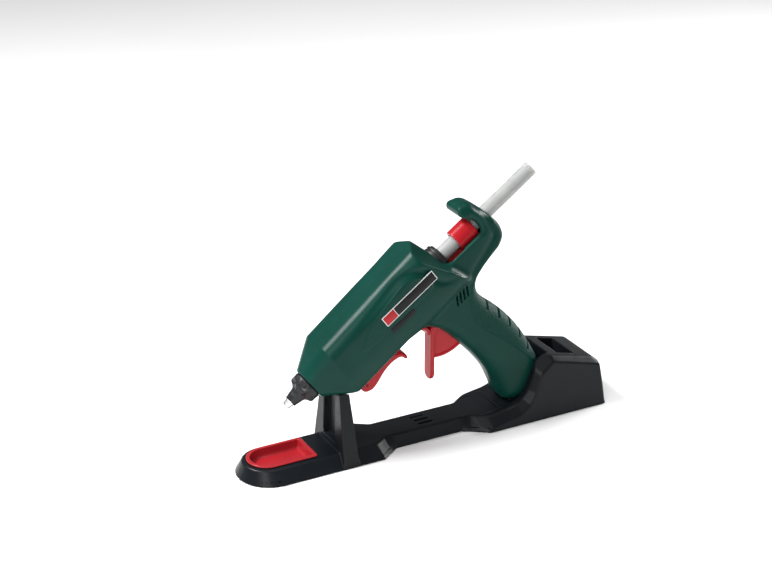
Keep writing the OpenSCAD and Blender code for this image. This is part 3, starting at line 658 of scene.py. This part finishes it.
def support_foot(s, y, t):
    """Bowed foot with sloping flanks, open in front round the housing's lug."""
    a = np.abs(y)
    ridge = np.interp(s, *np.array(foot_ridge).T)
    half = 8.2 - 0.42 * np.maximum(t - ridge, 0)
    body = cut(foot_plan(s, t), (a - half) * 0.93, 1.1)
    lug_room = np.maximum(np.maximum(a - 3.9, s - 63.5), -60 - t)
    body = cut(body, -lug_room, 0.6)
    pin = size(s - FOOT_S, t - FOOT_T) - 1.5
    return cut(body, -np.maximum(pin, a - 6.6), 0.2)


def trigger(x, y, z):
    """Blade with a hooded top, quadrant, pivot boss and arm. x and z are measured from the pivot."""
    a = np.abs(y)
    end = size(np.maximum(-42 - z, 0), a) - 5.5
    blade = cut(slab(x, -6.7, -3.6 + 0.25 * (a / 5.5) ** 2), np.maximum(end, z + 4), 1.25)
    bend_z, bend_x, bend_r = -9.5, -14.6, 7.9
    hood = np.abs(size(x - bend_x, z - bend_z) - bend_r + 1.4) - 1.4
    hood = cut(np.maximum(hood, np.maximum(bend_z - z, bend_x - x)), a - 5.5, 1)
    wedge = np.maximum(slab(z, -9, -3), slab(x, -6.7, -2))
    quadrant = size(x, z) - 29.8
    wall = np.maximum(-x - 5.2, z + x * 1.02)
    web = cut(np.maximum(quadrant, wall), a - 3.1, 0.3)
    rim = cut(np.maximum(np.maximum(quadrant, -quadrant - 1.9), wall), a - 3.7, 0.5)
    hub = cut(size(x, z) - 5.6, a - 3.7, 0.4)
    boss = cut(size(x, z) - 4, a - 7.3, 0.3)
    s, t = x * COS + z * SIN, -x * SIN + z * COS
    arm = np.maximum(np.abs(s) - 3, np.maximum(a - 2, slab(t, 0, 22)))
    eye = np.maximum(size(s, t - 22) - 3, a - 2)
    body = join(blade, join(hood, cut(wedge, a - 5.5, 1), 1), 1)
    for part in (web, rim, hub):
        body = join(body, part, 0.8)
    body = np.minimum(np.minimum(body, boss), np.minimum(arm, eye))
    holes = np.minimum(size(x, z) - 1.55, size(s, t - 22) - 1.5)
    return cut(body, -holes, 0.2)


def carriage(s, y, t):
    """Ring round the stick on a plate with side runners and a lug for the link's pin."""
    a = np.abs(y)
    radius = size(y, t)
    ring = cut(cut(radius - 8.6, slab(s, 169.5, 186), 0.8), 6.2 - radius, 0.4)
    plate = cut(slab(t, -12.4, -8), cut(a - 7.6, slab(s, 152.5, 186), 0.5), 0.5)
    runners = cut(slab(t, -11.8, -9.6), cut(a - 9.2, slab(s, 154, 186), 0.5), 0.4)
    body = join(join(ring, plate, 1), runners, 0.4)
    pin_s, pin_t = PIVOT_S + 34.3, -16
    lug = np.maximum(np.minimum(size(s - pin_s, t - pin_t) - 3.2,
                                np.maximum(np.abs(s - pin_s) - 3.2, slab(t, -16, -11))), a - 2)
    body = np.minimum(body, lug)
    body = np.maximum(body, 6.2 - radius)
    slot = np.maximum(a - 2.3, np.maximum(slab(s, 172, 183.6), slab(t, -14, -4)))
    body = cut(body, -slot, 0.2)
    holes = np.minimum(size(s - pin_s, t - pin_t) - 1.5, size(s - 180.6, t + 10.4) - 1)
    return cut(body, -holes, 0.1)


def collar(s, y, t):
    """Stepped guide ring at the barrel's rear."""
    radius = size(y, t)
    ring = cut(radius - 11, slab(s, 147.5, 154), 1)
    step = cut(radius - 9.6, slab(s, 153, 155.4), 0.6)
    body = np.minimum(np.minimum(ring, step), cut(radius - 9.8, slab(s, 141, 148), 0.4))
    body = cut(body, 6.1 - radius, 0.7)
    rib = np.maximum(np.abs(s - 151.2) - 0.45, 10.4 - radius)
    body = cut(body, -rib, 0.2)
    return cut(body, -7.6 - t, 0.4)


# ---- turned pieces ----
def turned(name, profile, sides=64, bite=None):
    """Piece of revolution about the glue stick's axis, from [s, radius] points. bite trims the radius."""
    rows = []
    for s, r in profile:
        for k in range(sides):
            a = 2 * math.pi * k / sides
            rr = r - (bite(s, a) if bite else 0)
            rows.append((s, rr * math.cos(a), rr * math.sin(a)))
    faces = []
    n = len(profile)
    for i in range(n):
        j = (i + 1) % n
        for k in range(sides):
            m = (k + 1) % sides
            faces.append((i * sides + k, i * sides + m, j * sides + m, j * sides + k))
    ob = mesh_object(name, to_world(np.array(rows)), faces)
    tidy_normals(ob)
    return ob


def tidy_normals(ob, angle=math.radians(38)):
    bm = bmesh.new()
    bm.from_mesh(ob.data)
    bmesh.ops.remove_doubles(bm, verts=bm.verts[:], dist=1e-7)
    bmesh.ops.recalc_face_normals(bm, faces=bm.faces[:])
    bm.to_mesh(ob.data)
    bm.free()
    ob.data.shade_smooth()
    ob.data.set_sharp_from_angle(angle=angle)


def filleted(points, r, steps=5):
    """Closed profile with its corners rounded."""
    p = np.array(points, float)
    out = []
    for i in range(len(p)):
        before, at, after = p[i - 1], p[i], p[(i + 1) % len(p)]
        u, v = before - at, after - at
        reach = min(r, 0.45 * np.hypot(*u), 0.45 * np.hypot(*v))
        a, b = at + u / np.hypot(*u) * reach, at + v / np.hypot(*v) * reach
        for k in range(steps + 1):
            w = k / steps
            out.append(tuple((1 - w) ** 2 * a + 2 * w * (1 - w) * at + w * w * b))
    return out


def make_nozzle():
    return turned("nozzle_tip", filleted([
        (0, 0.9), (0, 2.35), (0.7, 2.9), (5.6, 3.75), (6.2, 3.75), (6.2, 4.15), (14, 4.2), (14.2, 6.4),
        (22, 6.4), (22.2, 5), (36, 5), (36, 3.2), (14, 3.2), (6, 0.9)], 0.35))


def boot_flutes(s, a):
    """Eight scallops cut into the flare of the boot."""
    deep = 2.4 * soft_step(s, 12.5, 16.5) * (1 - soft_step(s, 19.2, 20.6))
    wave = 0.5 + 0.5 * math.cos(8 * a)
    return deep * wave ** 0.6


def make_boot():
    return turned("nozzle_boot_skin", [
        (5, 4.3), (5, 4.4), (5.2, 4.5), (7.2, 4.75), (7.4, 4.95), (9.5, 5.25), (11.4, 5.6), (12.8, 6.1),
        (13.7, 6.9), (14.4, 8), (15, 9.3), (15.6, 10.3), (16.3, 10.9), (17.2, 11.15), (18.2, 11.15),
        (20, 11.15), (21.4, 11.15), (22.4, 11.05), (23, 10.7), (23.3, 10), (23.35, 9.1), (26.2, 9.1),
        (26.4, 8.9), (26.4, 6.5), (14, 6.5), (14, 4.3)], sides=160, bite=boot_flutes)


def make_stick():
    box_low, box_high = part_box("glue_stick")
    radius = box_high.y / MM
    ends = [to_gun(q.x / MM, q.z / MM)[0] for q in (box_low, box_high)]
    inset = 2 * radius * SIN * COS
    first, last = ends[0] + inset, ends[1] - inset
    return turned("glue_stick_skin", filleted([
        (first, 0.02), (first, radius), (last, radius), (last, 0.02)], 0.7), sides=72)


def raised_plate(name, s0, s1, t0, t1, y0, y1, r, side, bevel=0.15):
    """Thin plate with round corners on the gun's side."""
    corners = [(s0 + r, t0 + r, 180), (s1 - r, t0 + r, 270), (s1 - r, t1 - r, 0), (s0 + r, t1 - r, 90)]
    def ring(inset, y):
        return [(cs + (r - inset) * math.cos(math.radians(start + 15 * k)), side * y,
                 ct + (r - inset) * math.sin(math.radians(start + 15 * k)))
                for cs, ct, start in corners for k in range(7)]
    bm = bmesh.new()
    rings = []
    for inset, y in ((0, y0), (0, y1 - bevel), (bevel * 0.4, y1 - bevel * 0.3), (bevel, y1)):
        rings.append([bm.verts.new(Vector(q) * MM) for q in to_world(np.array(ring(inset, y)))])
    for lower, upper in zip(rings, rings[1:]):
        for k in range(len(lower)):
            m = (k + 1) % len(lower)
            bm.faces.new((lower[k], lower[m], upper[m], upper[k]))
    bm.faces.new(rings[-1])
    bm.faces.new(rings[0][::-1])
    bmesh.ops.recalc_face_normals(bm, faces=bm.faces[:])
    mesh = bpy.data.meshes.new(name)
    bm.to_mesh(mesh)
    bm.free()
    ob = bpy.data.objects.new(name, mesh)
    bpy.context.scene.collection.objects.link(ob)
    mesh.shade_smooth()
    mesh.set_sharp_from_angle(angle=math.radians(50))
    return ob


# ---- materials ----
def new_material(name, color, roughness, **settings):
    mat = bpy.data.materials.new(name)
    mat.use_nodes = True
    shader = mat.node_tree.nodes["Principled BSDF"]
    shader.inputs["Base Color"].default_value = (*color, 1)
    shader.inputs["Roughness"].default_value = roughness
    for key, value in settings.items():
        shader.inputs[key.replace("_", " ")].default_value = value
    return mat, mat.node_tree, shader


def add(tree, kind, **values):
    node = tree.nodes.new(kind)
    for key, value in values.items():
        if key in node.inputs:
            node.inputs[key].default_value = value
        else:
            setattr(node, key, value)
    return node


def noise(tree, scale, detail=3, stretch=None):
    """Noise over the object's own coordinates, in cycles per metre."""
    place = add(tree, "ShaderNodeTexCoord")
    source = place.outputs["Object"]
    if stretch:
        turn = add(tree, "ShaderNodeMapping")
        turn.inputs["Rotation"].default_value = (0, TILT, 0)
        turn.inputs["Scale"].default_value = stretch
        tree.links.new(source, turn.inputs["Vector"])
        source = turn.outputs["Vector"]
    tex = add(tree, "ShaderNodeTexNoise", Scale=scale, Detail=detail)
    tree.links.new(source, tex.inputs["Vector"])
    return tex.outputs["Fac"]


def spread(tree, value, low, high, start=0.3, stop=0.7):
    """Value mapped from start..stop to low..high."""
    node = add(tree, "ShaderNodeMapRange")
    for key, number in (("From Min", start), ("From Max", stop), ("To Min", low), ("To Max", high)):
        node.inputs[key].default_value = number
    tree.links.new(value, node.inputs["Value"])
    return node.outputs["Result"]


def tint(tree, shader, value, dark, light):
    """Drives the base colour between two shades by value."""
    ramp = add(tree, "ShaderNodeValToRGB")
    ramp.color_ramp.elements[0].position = 0.3
    ramp.color_ramp.elements[1].position = 0.7
    ramp.color_ramp.elements[0].color = (*dark, 1)
    ramp.color_ramp.elements[1].color = (*light, 1)
    tree.links.new(value, ramp.inputs["Fac"])
    tree.links.new(ramp.outputs["Color"], shader.inputs["Base Color"])


def bump(tree, shader, value, depth, strength=1.0, after=None):
    node = add(tree, "ShaderNodeBump")
    node.inputs["Strength"].default_value = strength
    node.inputs["Distance"].default_value = depth
    tree.links.new(value, node.inputs["Height"])
    if after is not None:
        tree.links.new(after.outputs["Normal"], node.inputs["Normal"])
    tree.links.new(node.outputs["Normal"], shader.inputs["Normal"])
    return node


def shade(color, k):
    return tuple(c * k for c in color)


def moulded(name, color, roughness, grain=900, depth=0.00002, vary=0.1, **settings):
    """Moulded plastic: faint mottling of its colour, uneven gloss and a fine skin texture."""
    mat, tree, shader = new_material(name, color, roughness, **settings)
    cloud = noise(tree, 38, 4)
    tint(tree, shader, cloud, shade(color, 1 - vary), shade(color, 1 + vary))
    tree.links.new(spread(tree, noise(tree, 160, 5), roughness * 0.88, roughness * 1.14),
                   shader.inputs["Roughness"])
    bump(tree, shader, noise(tree, grain, 3), depth, 0.6)
    return mat


def housing_plastic():
    """Bottle green, satin on the body and grainy and duller where the mask says grip."""
    green = (0.0024, 0.035, 0.026)
    mat, tree, shader = new_material("housing_plastic", green, 0.34)
    shader.inputs["Specular IOR Level"].default_value = 0.11
    mask = add(tree, "ShaderNodeAttribute", attribute_name="grip").outputs["Fac"]
    grain = noise(tree, 820, 2)
    tint(tree, shader, noise(tree, 34, 4), shade(green, 0.88), shade(green, 1.12))
    rough = add(tree, "ShaderNodeMix")
    tree.links.new(mask, rough.inputs["Factor"])
    tree.links.new(spread(tree, noise(tree, 150, 5), 0.3, 0.335), rough.inputs["A"])
    tree.links.new(spread(tree, grain, 0.4, 0.56), rough.inputs["B"])
    tree.links.new(rough.outputs["Result"], shader.inputs["Roughness"])
    fine = bump(tree, shader, noise(tree, 2600, 2), 0.00001, 0.35)
    height = add(tree, "ShaderNodeMath", operation="MULTIPLY")
    tree.links.new(grain, height.inputs[0])
    tree.links.new(mask, height.inputs[1])
    bump(tree, shader, height.outputs["Value"], 0.0005, 1, fine)
    return mat


def metal(name, color, roughness, stretch=(1, 1, 1), scale=700):
    """Metal with an uneven polish; stretch draws its streaks out along the gun."""
    mat, tree, shader = new_material(name, color, roughness, Metallic=1.0)
    streak = noise(tree, scale, 4, stretch)
    tree.links.new(spread(tree, streak, roughness * 0.7, roughness * 1.35), shader.inputs["Roughness"])
    tint(tree, shader, noise(tree, 90, 4), shade(color, 0.9), color)
    bump(tree, shader, streak, 0.00001, 0.3)
    return mat


def glue():
    """Pale translucent hot-melt plastic, milky inside with a slightly uneven skin."""
    mat, tree, shader = new_material("hot_melt", (0.32, 0.325, 0.325), 0.3)
    shader.inputs["Subsurface Weight"].default_value = 0.8
    shader.inputs["Subsurface Radius"].default_value = (1, 0.95, 0.85)
    shader.inputs["Subsurface Scale"].default_value = 0.012
    shader.inputs["Specular IOR Level"].default_value = 0.2
    tint(tree, shader, noise(tree, 60, 3), (0.3, 0.305, 0.305), (0.34, 0.345, 0.345))
    tree.links.new(spread(tree, noise(tree, 260, 4), 0.26, 0.42), shader.inputs["Roughness"])
    bump(tree, shader, noise(tree, 130, 3), 0.00012, 0.35)
    return mat


def make_materials():
    red = (0.35, 0.008, 0.013)
    return {
        "stand_black": moulded("stand_plastic", (0.0062, 0.0078, 0.0098), 0.34, 1500, 0.00003, 0.16,
                               Specular_IOR_Level=0.16),
        "rubber": moulded("foot_rubber", (0.012, 0.012, 0.012), 0.75, 700, 0.00006),
        "steel": metal("screw_steel", (0.62, 0.62, 0.63), 0.26),
        "tray_red": moulded("tray_plastic", (0.33, 0.014, 0.02), 0.24, 1300, 0.00002, 0.07,
                            Specular_IOR_Level=0.35),
        "insulator": moulded("insulator", (0.02, 0.021, 0.023), 0.5),
        "brass": metal("contact_brass", (0.72, 0.5, 0.2), 0.22),
        "lead": moulded("lead_sleeve", (0.05, 0.05, 0.055), 0.55),
        "housing_green": housing_plastic(),
        "nozzle_metal": metal("nozzle_steel", (0.8, 0.8, 0.8), 0.26, (40, 1, 1), 60),
        "boot_black": moulded("boot_silicone", (0.0085, 0.009, 0.01), 0.42, 800, 0.00003, 0.15,
                              Specular_IOR_Level=0.35),
        "chamber": metal("cast_aluminium", (0.6, 0.6, 0.61), 0.42),
        "spacer": moulded("spacer_ceramic", (0.62, 0.58, 0.5), 0.7),
        "heater": moulded("heater_ceramic", (0.7, 0.66, 0.58), 0.6),
        "sleeve": moulded("sleeve_silicone", (0.42, 0.07, 0.045), 0.45),
        "plate_black": moulded("plate_black", (0.006, 0.006, 0.007), 0.34, 600, 0.00001, 0.2,
                               Specular_IOR_Level=0.15),
        "red_plastic": moulded("red_plastic", red, 0.24, 1000, 0.00002, 0.08, Specular_IOR_Level=0.22),
        "glue": glue(),
        "border": moulded("plate_border", (0.55, 0.56, 0.55), 0.35),
    }


def paint(ob, material):
    ob.data.materials.clear()
    ob.data.materials.append(material)


def finish_piece(ob, body, slot, material, *nodes):
    paint(ob, material)
    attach(ob, body)
    if nodes:
        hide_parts(*nodes)


def make_pieces(mats):
    """Every drawn piece, on its body, with its finish and in place of its CAD node."""
    for ob, node in zip(make_housing(), ("housing_left", "housing_right")):
        finish_piece(ob, "gun", "housing_green", mats["housing_green"], node)
    ob = field_object("stand_skin", stand, (-149.6, -29, -0.6), (149.8, 29, 68), 0.8)
    finish_piece(ob, "stand", "stand_black", mats["stand_black"], "stand_shell")
    ob = field_object("drip_tray_skin", tray, (-141.5, -16.5, 3.6), (-90.5, 16.5, 13.2), 0.42)
    finish_piece(ob, "tray", "tray_red", mats["tray_red"], "drip_tray")
    ob = field_object("support_foot_skin", support_foot, (47, -9.5, -41.5), (91, 9.5, -25), 0.4, True)
    finish_piece(ob, "foot", "red_plastic", mats["red_plastic"], "support_foot")
    ob = trigger_object()
    finish_piece(ob, "trigger", "red_plastic", mats["red_plastic"], "trigger")
    ob = field_object("feed_carriage_skin", carriage, (151, -10.5, -20.5), (187.5, 10.5, 9.8), 0.45, True)
    finish_piece(ob, "carriage", "red_plastic", mats["red_plastic"], "feed_carriage")
    ob = field_object("guide_collar_skin", collar, (139.5, -13.2, -9), (157.5, 13.2, 13.2), 0.45, True)
    finish_piece(ob, "gun", "boot_black", mats["boot_black"], "guide_collar")
    finish_piece(make_nozzle(), "gun", "nozzle_metal", mats["nozzle_metal"], "nozzle")
    finish_piece(make_boot(), "gun", "boot_black", mats["boot_black"], "nozzle_boot")
    finish_piece(make_stick(), "stick", "glue", mats["glue"], "glue_stick")
    make_plates(mats)


def trigger_object():
    def moved(x, y, z):
        return trigger(x - pivot_world[0], y, z - pivot_world[2])
    low = (pivot_world[0] - 18, -8, pivot_world[2] - 49)
    high = (pivot_world[0] + 31, 8, pivot_world[2] + 26)
    return field_object("trigger_skin", moved, low, high, 0.5)


def make_plates(mats):
    """Blank plates: a light border, a black field and a red end block on each side."""
    for word, side in (("left", -1), ("right", 1)):
        rim = raised_plate("plate_border_" + word, 90.4, 139.9, 2.4, 11.2, 20.3, 20.92, 0.7, side)
        finish_piece(rim, "gun", "plate_black", mats["border"])
        field = raised_plate("side_plate_skin_" + word, 101.6, 139.3, 3, 10.6, 20.5, 21.02, 0.35, side)
        finish_piece(field, "gun", "plate_black", mats["plate_black"], "side_plate_" + word)
        block = raised_plate("side_badge_skin_" + word, 91, 101.2, 3, 10.6, 20.5, 21.02, 0.35, side)
        finish_piece(block, "gun", "red_plastic", mats["red_plastic"], "side_badge_" + word)
    small = raised_plate("rating_plate_skin", 91, 113, -6.1, -1.5, 19.8, 20.45, 0.4, -1)
    finish_piece(small, "gun", "plate_black", mats["plate_black"], "rating_plate")


def paint_frame(mats):
    """Every CAD node that stays takes the finish of its own slot."""
    for row in frame["record"]["subparts"]:
        paint(frame["nodes"][row["node"]], mats[row["material_slot"]])


# ---- stage ----
def area_light(name, place, aim, wide, high, power, color=(1, 1, 1)):
    data = bpy.data.lights.new(name, "AREA")
    data.shape = "RECTANGLE"
    data.size, data.size_y = wide, high
    data.energy = power
    data.color = color
    ob = bpy.data.objects.new(name, data)
    ob.location = place
    ob.rotation_euler = (Vector(aim) - Vector(place)).to_track_quat("-Z", "Y").to_euler()
    bpy.context.scene.collection.objects.link(ob)
    return ob


STUDIO_MIDDLE = (0, 0, 0.08)
# Softboxes: name, place, width, height (metres) and power (watts)
LIGHTS = (
    ("key", (-0.73, 0.3, 1.1), 0.62, 0.26, 26),
    ("front", (-0.9, -0.8, 0.9), 0.5, 0.5, 6),
    ("low_left", (-0.75, -1.15, 0.42), 0.2, 0.5, 3),
    ("overhead", (0.1, -0.1, 1.35), 0.9, 0.6, 3.5),
    ("side", (1.2, 0.1, 0.45), 0.5, 0.35, 15))


def make_stage():
    """Plain pale floor, dim even surroundings and the softboxes."""
    bm = bmesh.new()
    bmesh.ops.create_grid(bm, x_segments=8, y_segments=8, size=4)
    mesh = bpy.data.meshes.new("floor")
    bm.to_mesh(mesh)
    bm.free()
    floor = bpy.data.objects.new("floor", mesh)
    bpy.context.scene.collection.objects.link(floor)
    mat, tree, shader = new_material("floor_white", (0.92, 0.92, 0.92), 0.9)
    shader.inputs["Specular IOR Level"].default_value = 0.1
    tint(tree, shader, noise(tree, 3, 2), (0.9, 0.9, 0.9), (0.93, 0.93, 0.93))
    paint(floor, mat)
    world = bpy.data.worlds.new("studio")
    bpy.context.scene.world = world
    world.use_nodes = True
    world.node_tree.nodes["Background"].inputs["Color"].default_value = (1, 1, 1, 1)
    world.node_tree.nodes["Background"].inputs["Strength"].default_value = 0.22
    for name, place, wide, high, power in LIGHTS:
        area_light(name, place, STUDIO_MIDDLE, wide, high, power)


def make_camera():
    """Camera at the photograph's angle: turned and raised in degrees, aim and distance in metres."""
    azimuth, elevation, reach = math.radians(-28.14), math.radians(24.26), 1.33626
    aim = Vector((-0.02868, 0, 0.12234))
    back = Vector((math.sin(azimuth) * math.cos(elevation), -math.cos(azimuth) * math.cos(elevation),
                   math.sin(elevation)))
    data = bpy.data.cameras.new("camera")
    data.lens = 87.565
    data.sensor_width = 36
    camera = bpy.data.objects.new("camera", data)
    camera.location = aim + back * reach
    camera.rotation_euler = back.to_track_quat("Z", "Y").to_euler()
    bpy.context.scene.collection.objects.link(camera)
    bpy.context.scene.camera = camera


make_camera()
make_stage()
materials = make_materials()
paint_frame(materials)
make_pieces(materials)
bpy.context.scene.view_settings.view_transform = "Standard"
